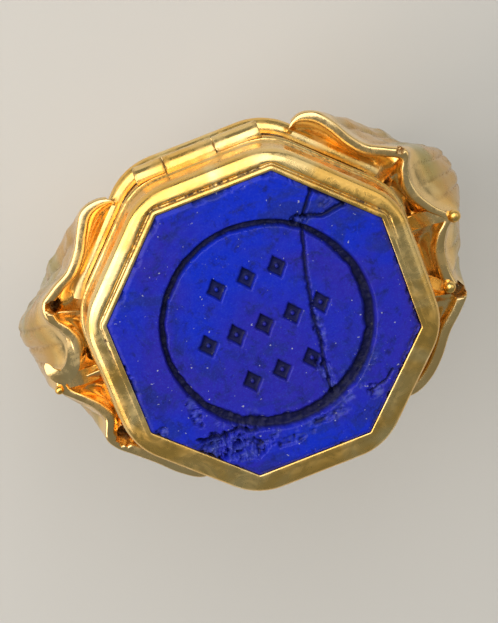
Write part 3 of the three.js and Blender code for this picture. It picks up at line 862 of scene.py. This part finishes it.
def silk_pad():
    """A card covered in silk, a little crowned, that fills the compartment's floor."""
    half, corner = 6.40, 0.43
    rows = [level(half, FLOOR_TOP - CLEARANCE, corner), level(half + 0.05, FLOOR_TOP - 0.15, corner)]
    for share in (1.0, 0.985, 0.95, 0.85, 0.7, 0.5, 0.3, 0.12):
        crown = 0.28 + 0.22 * (1 - share**4)
        rows.append(level(half * share, FLOOR_TOP - crown, corner * share))
    silk = silk_surface()
    pad = Shape().loft(rows).build("silk_pad", silk, "ring", "keepsake_lining", "silk", sharp=80)


silk_pad()


# ---- Hinge ----


def knuckle(name, node, body):
    """A hinge barrel with eased ends. The lid's has a web that joins it to the lid's frame."""
    left, right = span(node, 0)
    edge = 0.05
    ends = [(0, BORE_R), (0, BARREL_R - edge), (edge * 0.4, BARREL_R - edge * 0.3), (edge, BARREL_R)]
    outline = [(left + x, r) for x, r in ends]
    outline += [(left + (right - left) * k / 8, BARREL_R - 0.008) for k in range(1, 8)]
    outline += [(right - x, r) for x, r in reversed(ends)]
    rows = np.asarray(lathe_x(outline, HINGE_Y, HINGE_Z))
    ends = bump(rows[..., 0], left, 0.06) + bump(rows[..., 0], right, 0.06)
    shape = Shape().loft(rows, around=True, grime=np.clip(ends, 0, 1))
    if body == "lid":
        front, back = HINGE_Y - 0.2, HINGE_Y + 0.08
        web = [(left, front), (right, front), (right, back), (left, back)]
        levels = (HINGE_Z + 0.3, TOP - LID_DEPTH - 0.01)
        shape.loft([[(x, y, z) for x, y in web] for z in levels], grime=np.zeros(8))
    shape.build(name, gold, body, node)


knuckle("hinge_knuckle_left", "left_hinge_knuckle", "ring")
knuckle("hinge_knuckle_right", "right_hinge_knuckle", "ring")
knuckle("hinge_knuckle_middle", "middle_hinge_knuckle", "lid")


def pin():
    """The hinge pin, with both ends hammered to low domes."""
    left, right = span("hinge_pin", 0)
    dome = [(0.0, 0.55), (0.02, 0.8), (0.05, 0.95), (0.1, 1.0)]
    outline = [(left + x, PIN_R * r) for x, r in dome]
    outline += [(right - x, PIN_R * r) for x, r in reversed(dome)]
    shape = Shape().loft(lathe_x(outline, HINGE_Y, HINGE_Z, 28))
    shape.build("peened_pin", inner_gold, "ring", "hinge_pin", "pale_gold")


pin()


def catch():
    """The low bead on the collar that the closed lid snaps over."""
    half, radius, y = 0.9, 0.115, -6.96
    ends = [(half, 0.02), (half - 0.04, 0.08), (half - 0.15, radius)]
    outline = [(-x, r) for x, r in ends] + [(x, r) for x, r in reversed(ends)]
    z = sum(span("catch_bead", 2)) / 2
    shape = Shape().loft(lathe_x(outline, y, z, 20))
    shape.build("snap_bead", inner_gold, "ring", "catch_bead")


catch()


# ---- Hoop ----

HOOP_BACK_WIDTH, HOOP_BACK_THICK = 3.6, 1.25
HOOP_SIDE_WIDTH, HOOP_SIDE_THICK = 4.3, 1.75
HOOP_FLARE = 1.7  # added to the width where the hoop meets the case
HOOP_END = math.radians(69.5)


def hoop_size(angle):
    """The hoop's width and thickness at an angle above the side of the finger."""
    up = np.sin(angle)
    rise = np.minimum(1, (1 + up) / 1.05)
    gain = np.where(up < 0, HOOP_SIDE_WIDTH - HOOP_BACK_WIDTH, HOOP_FLARE)
    width = HOOP_SIDE_WIDTH + gain * up
    return width, HOOP_BACK_THICK + (HOOP_SIDE_THICK - HOOP_BACK_THICK) * rise


def hoop_outer(angle, y):
    """The hoop's outer radius at an angle and a place across its width."""
    width, thick = hoop_size(angle)
    return FINGER_R + thick * (0.4 + 0.6 * np.sqrt(np.clip(1 - (2 * y / width) ** 2, 0, 1)))


def hoop():
    """The band: flat inside with eased edges, rounded outside, and cut level under the case."""
    ceiling = TOP - CASE_BOTTOM - 0.04
    sweep = np.linspace(0, math.pi, 25)
    flat = np.linspace(-0.41, 0.41, 9)
    across = np.array([-0.5, -0.485, -0.45, *flat, 0.45, 0.485, 0.5, *0.5 * np.cos(sweep)])
    inside = FINGER_R + np.array([0.30, 0.12, 0.03, *np.zeros(len(flat)), 0.03, 0.12, 0.30])
    rows = []
    for angle in np.linspace(HOOP_END, -math.pi - HOOP_END, 241):
        width, thick = hoop_size(angle)
        wall = 0.4 * thick
        outside = FINGER_R + wall + (thick - wall) * np.sin(sweep) ** 0.9
        r = np.concatenate([inside, outside])
        if math.sin(angle) > 0.2:
            r = np.minimum(r, ceiling / math.sin(angle))
        rows.append(np.stack([r * math.cos(angle), across * width, r * math.sin(angle)], axis=1))
    Shape().loft(hand_worked(rows, 0.02)).build("hoop_band", gold, "ring", "hoop")


hoop()


# ---- Shoulders ----
# The rim of each shoulder in plan, from the hinge side to the front, with x counted outwards.

RIGHT_RIM = [
    (4.3, 7.7), (5.1, 8.1), (5.9, 7.9), (6.5, 7.2), (7.0, 6.3), (7.6, 5.6), (8.5, 5.1), (9.3, 4.6),
    (9.1, 3.9), (9.0, 3.1), (9.2, 2.3), (9.7, 1.5), (10.3, 0.8), (9.8, 0.2), (9.4, -0.6),
    (9.3, -1.6), (9.4, -2.4), (9.7, -3.1), (9.2, -3.8), (8.3, -4.7), (7.5, -5.8), (6.7, -6.6),
    (5.8, -7.1), (4.9, -7.2),
]
LEFT_RIM = [
    (4.4, 7.6), (5.3, 7.8), (6.1, 7.6), (6.6, 6.9), (7.1, 6.0), (7.8, 5.2), (8.7, 4.7), (9.5, 4.1),
    (9.6, 3.3), (9.2, 2.6), (9.0, 1.8), (9.3, 1.0), (10.2, 0.5), (10.4, -0.2), (9.8, -0.9),
    (9.2, -1.6), (8.9, -2.4), (9.2, -3.3), (8.9, -4.0), (8.2, -4.7), (7.4, -5.5), (6.6, -6.4),
    (5.7, -7.1), (4.9, -7.2),
]
# How far the outside swells beyond each rim point, about 3 mm below it
RIGHT_BULGES = (
    1.7, 1.4, 1.1, 0.9, 0.9, 1, 0.9, 1.2, 3, 3.8, 3.8, 2.9, 1.8, 2.4, 2.7, 2.1, 0.8, 0.3, 0.3, 0.3,
    0.4, 0.7, 1.1, 1.6,
)
LEFT_BULGES = (
    1.7, 1.3, 0.9, 0.6, 0.4, 0.3, 0.4, 0.9, 2.4, 3.7, 3.9, 3.2, 1.7, 1.4, 1.8, 2.2, 1.4, 0.5, 0.3,
    0.3, 0.4, 0.7, 1.1, 1.6,
)
RIGHT_RIDGES = (7.4, 12.1, 17)
LEFT_RIDGES = (7.6, 12.8, 17.3)
# Drilled pits between the leaves: plan place (x outwards), radius, depth
RIGHT_PITS = [((9.0, 4.75), 0.14, 0.5), ((9.35, -2.85), 0.30, 1.0)]
LEFT_PITS = [((9.0, 3.75), 0.26, 1.0), ((8.25, -3.6), 0.36, 1.1)]
RIM_DEPTH, RIM_THICK = 3.0, 0.45
# The rolled rim: place outwards from the rim line, and drop below the crest
RIM_SECTION = (
    (-0.58, 0.24), (-0.57, 0.12), (-0.53, 0.045), (-0.46, 0.01), (-0.32, 0.0),
    (-0.16, 0.0), (-0.07, 0.03), (-0.015, 0.10), (0.0, 0.25),
)
RIDGE_DEPTH, SCOOP_DEPTH = 0.35, 1.2
FOOT_HALF_WIDTH = 1.9
INSIDE_R, INSIDE_TOP = FINGER_R + 0.05, math.radians(46)
STATIONS = 420  # along the rim
CHANNEL_STEPS, SKIN_STEPS, INSIDE_STEPS = 13, 30, 12
END_TAPER = 0.02  # share of the rim's length over which each end closes
SCROLL_STEPS, SCROLL_SIDES = 40, 16


def nearest_on_case(plan):
    """The nearest point just inside the case's rounded octagon, and the direction outwards from it."""
    sector = np.floor(np.arctan2(plan[:, 1], plan[:, 0]) / EIGHTH)
    middle = (sector + 0.5) * EIGHTH
    reach = (WALL_FLAT - 0.14 - OUTER_CORNER) / math.cos(EIGHTH / 2)
    centre = reach * np.stack([np.cos(middle), np.sin(middle)], axis=1)
    angle = np.arctan2(plan[:, 1] - centre[:, 1], plan[:, 0] - centre[:, 0])
    angle = np.clip(angle, sector * EIGHTH, (sector + 1) * EIGHTH)
    out = np.stack([np.cos(angle), np.sin(angle)], axis=1)
    away = ((plan - centre) * out).sum(axis=1) - OUTER_CORNER
    return plan - out * away[:, None], out


def scoops(places, ridges, last):
    """How deep each flute is, from 0 on a ridge to 1 near its front end, and the share along it."""
    edges = np.array([-0.5, *ridges, last + 0.5])
    flute = np.clip(np.searchsorted(edges, places, side="right") - 1, 0, len(ridges))
    along = (places - edges[flute]) / (edges[flute + 1] - edges[flute])
    return np.sin(math.pi * along**1.5) ** 0.8, along


def cubic(p0, p1, p2, p3, t):
    """Places t along a Bezier curve for each row of its four control points."""
    t = t[None, :, None]
    p0, p1, p2, p3 = (p[:, None, :] for p in (p0, p1, p2, p3))
    return (1 - t) ** 3 * p0 + 3 * (1 - t) ** 2 * t * p1 + 3 * (1 - t) * t**2 * p2 + t**3 * p3


def channel_rows(near, foot, crest, scoop):
    """Across the flutes, from the case to the rim's inner foot."""
    ridge_top = crest - RIDGE_DEPTH
    floor = ridge_top - SCOOP_DEPTH * scoop
    side = ridge_top - 0.6 * scoop
    middle = 0.45
    rows = []
    for q in np.linspace(0, 1, CHANNEL_STEPS):
        if q < middle:
            z = floor + 0.15 * scoop * (1 - ease(q, 0, middle))
        else:
            z = floor + (side - floor) * ease(q, middle, 1.0)
        rows.append(np.column_stack([near + (foot - near) * q, z]))
    return rows


def foot_line(t):
    """Where the outer skin ends in a tongue on the hoop: angles, places along the finger, points."""
    turn = -np.radians(8 + 17 * np.sin(math.pi * t))
    y = FOOT_HALF_WIDTH * np.cos(math.pi * t)
    r = hoop_outer(turn, y) + 0.10
    return turn, y, np.stack([r * np.cos(turn), y, r * np.sin(turn)], axis=1)


def skin_rows(start, bulge, crest, t):
    """Down the outside, swelling below the rim and then drawing in to the foot."""
    turn, foot_y, foot = foot_line(t)
    swell = start.copy()
    swell[:, 0] += bulge
    swell[:, 1] *= 0.87
    swell[:, 2] = crest - 3
    up = np.stack([-np.sin(turn), np.zeros(STATIONS), np.cos(turn)], axis=1)
    waist = foot + 4.2 * up
    waist[:, 0] += 0.5 * np.sin(math.pi * t)
    waist[:, 1] += 0.15 * foot_y
    return cubic(start, swell, waist, foot, np.linspace(0, 1, SKIN_STEPS + 1)[1:])


def inside_rows(near, out, t):
    """Back up inside: along the finger's surface, then behind the case wall."""
    turn, foot_y, _ = foot_line(t)
    rows = []
    for climb in np.linspace(0, 1, INSIDE_STEPS):
        angle = turn + (INSIDE_TOP - turn) * climb
        y = foot_y + (near[:, 1] * 0.8 - foot_y) * climb
        rows.append(np.stack([INSIDE_R * np.cos(angle), y, INSIDE_R * np.sin(angle)], axis=1))
    rows.append(np.column_stack([near - out * 0.5, np.full(STATIONS, TOP - CASE_BOTTOM + 0.1)]))
    return np.stack(rows, axis=1)


def taper_ends(rows, t):
    """Draws the first and last stations in, so that both ends close to rounded edges."""
    end = np.minimum(t, 1 - t)
    close = np.sqrt(np.clip(1 - (1 - end / END_TAPER) ** 2, 0, 1))
    close = np.where(end > END_TAPER, 1, close)[:, None, None]
    middle = 0.5 * (rows + rows[:, ::-1])
    return middle + (rows - middle) * (0.25 + 0.75 * close)


def chase(skin, out, along):
    """Chased veins and soft hollows on the outer face, strongest near the rim."""
    n, m = skin.shape[:2]
    down = np.linspace(0, 1, m)[None, :]
    normal = np.concatenate([np.repeat(out[:, None, :], m, axis=1), np.zeros((n, m, 1))], axis=2)
    vein = sum(bump(along[:, None], c + 0.25 * (down - 0.2), 0.035) for c in (0.22, 0.5, 0.76))
    vein = vein * bump(down, 0.25, 0.28)
    texture = 1.4 * fractal(skin, 0.7, seed=61, octaves=2) + 0.25 * fractal(skin, 3.0, seed=63, octaves=2)
    push = 0.15 * texture * ease(down, 0.02, 0.25) - 0.10 * vein
    push = push * (1 - ease(down, 0.75, 1.0))
    return skin + normal * push[..., None], np.clip(vein, 0, 1)


def drill(inner, pits):
    """Sinks each pit into the flutes. Returns how much of each point lies in a pit, which the marks darken
    as painted shade.
    """
    hole = np.zeros(inner.shape[:2])
    for centre, radius, sunk in pits:
        away = np.linalg.norm(inner[..., :2] - centre, axis=-1) / radius
        pit = ease(1.4 - away, 0, 0.9)
        inner[..., 2] -= sunk * pit
        hole = np.maximum(hole, pit)
    return hole


def shoulder(name, node, side, rim, bulges, ridges, pits, extras):
    """A ruffled leaf shoulder. side is 1 on the right and -1 on the left."""
    t = np.linspace(0, 1, STATIONS)
    places = t * (len(rim) - 1)
    on = spline(rim, places)
    bulge = spline(bulges, places)
    near, out = nearest_on_case(on)
    crest = TOP - RIM_DEPTH - 0.5 * abs(2 * t - 1) ** 4
    scoop, along = scoops(places, ridges, len(rim) - 1)

    # The loop of points at each station: flute and rim, outer skin, inside
    rows = channel_rows(near, on - out * (RIM_THICK + 0.18), crest, scoop)
    depth = [(crest - row[:, 2]) / (RIDGE_DEPTH + SCOOP_DEPTH) for row in rows]
    rows += [np.column_stack([on + out * reach, crest - sunk]) for reach, sunk in RIM_SECTION]
    depth += [np.zeros(STATIONS)] * len(RIM_SECTION)
    inner, depth = np.stack(rows, axis=1), np.stack(depth, axis=1)
    skin, veins = chase(skin_rows(inner[:, -1], bulge, crest, t), out, along)
    inside = inside_rows(near, out, t)
    hole = drill(inner, pits)
    rough = fractal(inner, 3.0, seed=71, octaves=3) * bump(scoop, 0.0, 0.35)[:, None]
    inner[..., 2] += 0.06 * rough * (depth > 0.1)
    rows = taper_ends(np.concatenate([inner, skin, inside], axis=1), t)
    rows[..., 0] *= side

    def full(inner_part, skin_part):
        parts = [inner_part, np.broadcast_to(skin_part, skin.shape[:2]), np.zeros(inside.shape[:2])]
        return np.concatenate(parts, axis=1)

    # Marks for the material, mostly painted shade, highlight and dark reflection
    down = np.linspace(0, 1, SKIN_STEPS)[None, :]
    # Painted shade in the deep front end of each flute
    deep = ease(depth, 0.35, 1.0) * (0.12 + 0.88 * ease(along, 0.40, 0.85))[:, None]
    # Painted dark reflection down the outer face, patchy, and weaker towards the foot
    cloud = patches(skin, 0.55, 0.8, 0.5, seed=81, octaves=3)
    patina = (0.75 + 0.25 * cloud) * ease(down, 0.02, 0.08) * (1 - 0.6 * ease(down, 0.7, 1.0))
    # Painted highlight on the rolled rim, the top of the outer face and the shallow start of each flute
    polish = ease(depth, 0.05, 0.4) * (1 - 0.8 * ease(along, 0.45, 0.85))[:, None]
    polish[:, 1 - len(RIM_SECTION) :] = 1.0
    # The pits are darkened with painted shade in both the deep and the grime marks; the chased veins are
    # made darker along their lines as well
    shape = Shape().loft(
        rows,
        deep=full(np.maximum(deep, hole), 0.35 * veins),
        grime=full(0.9 * hole, 0.3 * veins),
        patina=full(np.zeros_like(deep), patina),
        polish=full(polish, 1 - ease(down, 0.0, 0.06)),
    )
    for path, widths in extras:
        scroll(shape, [(side * x, y, TOP - RIM_DEPTH - drop) for x, y, drop in path], widths)
    shape.build(name, chased_gold, "ring", node, sharp=50)


def scroll(shape, path, widths):
    """A small rolled leaf tip: a flattened round swept along a path and closed at both ends."""
    steps = np.linspace(0, len(path) - 1, SCROLL_STEPS)
    line = spline(path, steps)
    half = spline(widths, steps) / 2
    ends = np.minimum(steps, len(path) - 1 - steps)
    half = half * np.sqrt(np.clip(1 - (1 - np.clip(ends / 0.35, 0, 1)) ** 2, 0.01, 1))
    tangent = np.gradient(line, axis=0)
    tangent[:, 2] = 0
    tangent /= np.linalg.norm(tangent, axis=1)[:, None]
    across = np.stack([-tangent[:, 1], tangent[:, 0], np.zeros(len(line))], axis=1)
    angles = np.linspace(0, TAU, SCROLL_SIDES, endpoint=False)
    sideways = half[:, None] * np.cos(angles)
    upwards = half[:, None] * np.clip(0.8 * np.sin(angles), -0.8, 0.3)
    rows = line[:, None] + across[:, None] * sideways[..., None]
    rows[..., 2] += upwards
    # The leaf tip is painted with highlight all over
    shape.loft(rows, polish=np.ones(rows.shape[:2]))


# Leaf tips on the flutes' ends: points (x outwards, y, drop below the crest), and widths
RIGHT_SCROLLS = [
    ([(8.0, 0.9, 0.75), (8.9, 1.1, 0.35), (9.7, 0.95, 0.12), (10.25, 0.85, 0.1)], (0.9, 0.8, 0.55, 0.5)),
    ([(8.1, -1.9, 0.75), (8.45, -2.2, 0.4), (8.8, -2.4, 0.15)], (0.5, 0.6, 0.5)),
]
LEFT_SCROLLS = [
    (
        [(8.8, 2.3, 0.2), (8.95, 1.5, 0.1), (9.3, 0.75, 0.08), (9.85, 0.4, 0.08), (10.3, 0.75, 0.1),
         (10.45, 1.3, 0.2)],
        (0.45, 0.55, 0.75, 0.8, 0.55, 0.25),
    ),
    ([(8.1, -0.2, 0.75), (9.0, -0.05, 0.45), (9.8, 0.0, 0.25), (10.25, -0.1, 0.15)], (0.7, 0.8, 0.6, 0.5)),
]
shoulder(
    "leaf_shoulder_right", "right_shoulder", 1,
    RIGHT_RIM, RIGHT_BULGES, RIGHT_RIDGES, RIGHT_PITS, RIGHT_SCROLLS,
)
shoulder(
    "leaf_shoulder_left", "left_shoulder", -1,
    LEFT_RIM, LEFT_BULGES, LEFT_RIDGES, LEFT_PITS, LEFT_SCROLLS,
)


def granule(name, node, size=1.0):
    """A small melted bead, not quite round."""
    low, high = np.array(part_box(node)) / MM
    centre, radius = (low + high) / 2, size * (high - low).min() / 2
    around = np.linspace(0, TAU, 32, endpoint=False)
    rows = []
    for polar in np.linspace(0.03, math.pi - 0.03, 20):
        flat = np.sin(polar) * np.stack([np.cos(around), np.sin(around)], axis=1)
        ring = np.column_stack([flat, np.full(len(around), np.cos(polar))])
        rows.append(centre + radius * ring)
    rows = np.asarray(rows)
    rows += 0.03 * fractal(rows, 2.5, seed=91)[..., None] * (rows - centre)
    Shape().loft(rows).build(name, chased_gold, "ring", node)


granule("bead_right_outer", "right_outer_bead")
granule("bead_right_front", "right_front_bead")
granule("bead_left_outer", "left_outer_bead", 0.7)


# ---- Floor, light and camera ----

LIGHT_AIM = 8  # height of the point that every light faces
# Soft boxes: place, size, power in watts, colour
LIGHTS = {
    "overhead": ((-25, 135, 230), (340, 250), 0.60, (1.0, 0.97, 0.94)),
    "left_side": ((-230, 40, 160), (260, 160), 0.42, (1.0, 0.88, 0.76)),
    "right_side": ((230, 40, 170), (260, 160), 0.10, (1.0, 0.93, 0.82)),
}

def floor():
    """A plain pale floor of matt paper just under the hoop."""
    s = Surface("paper_floor", Roughness=0.85)
    colour = s.mix(s.noise(0.02, 3.0), (0.62, 0.615, 0.60), (0.66, 0.655, 0.64))
    reach, z = 1.5, (HOOP_BOTTOM - 0.01) * MM
    corners = [(-reach, -reach, z), (reach, -reach, z), (reach, reach, z), (-reach, reach, z)]
    mesh = bpy.data.meshes.new("floor")
    mesh.from_pydata(corners, [], [(0, 1, 2, 3)])
    mesh.materials.append(s.finish(Base_Color=colour))
    add_object("floor", mesh)


def area_light(name, place, size, power, colour):
    """A soft box that faces the ring from a place in millimetres."""
    data = bpy.data.lights.new(name, "AREA")
    data.shape, data.size, data.size_y = "RECTANGLE", size[0] * MM, size[1] * MM
    data.energy, data.color = power, colour
    obj = add_object(name, data)
    place = Vector(place) * MM
    aim = Vector((0, 0, LIGHT_AIM * MM)) - place
    obj.matrix_world = Matrix.Translation(place) @ aim.to_track_quat("-Z", "Y").to_matrix().to_4x4()


def world():
    """A dim, even fill from all round."""
    studio = bpy.data.worlds.new("studio")
    studio.use_nodes = True
    background = studio.node_tree.nodes["Background"]
    background.inputs["Color"].default_value = (0.76, 0.80, 0.74, 1)
    background.inputs["Strength"].default_value = 0.26
    bpy.context.scene.world = studio


TILT = math.radians(17.6)  # the view leans this far from straight down, towards the hinge
ROLL = math.radians(21.4)  # and the camera is turned about its own line of sight
DISTANCE = 94.4  # from the middle of the seal's face
LENS = 117.3
SENSOR = 36
SHIFT = (-0.0268, 0.0246)


def camera():
    """Looks down on the seal, a little from the hinge side."""
    data = bpy.data.cameras.new("camera")
    data.lens, data.sensor_width, data.clip_start = LENS, SENSOR, 0.005
    data.shift_x, data.shift_y = SHIFT
    obj = add_object("camera", data)
    back = Vector((0, math.sin(TILT), math.cos(TILT)))
    level_y = Vector((0, math.cos(TILT), -math.sin(TILT)))
    right = math.cos(ROLL) * Vector((1, 0, 0)) - math.sin(ROLL) * level_y
    up = math.sin(ROLL) * Vector((1, 0, 0)) + math.cos(ROLL) * level_y
    turn = Matrix((right, up, back)).transposed().to_4x4()
    obj.matrix_world = Matrix.Translation((Vector((0, 0, TOP)) + DISTANCE * back) * MM) @ turn
    bpy.context.scene.camera = obj


floor()
world()
for name, light in LIGHTS.items():
    area_light(name, *light)
bpy.context.scene.view_settings.view_transform = "Standard"
camera()
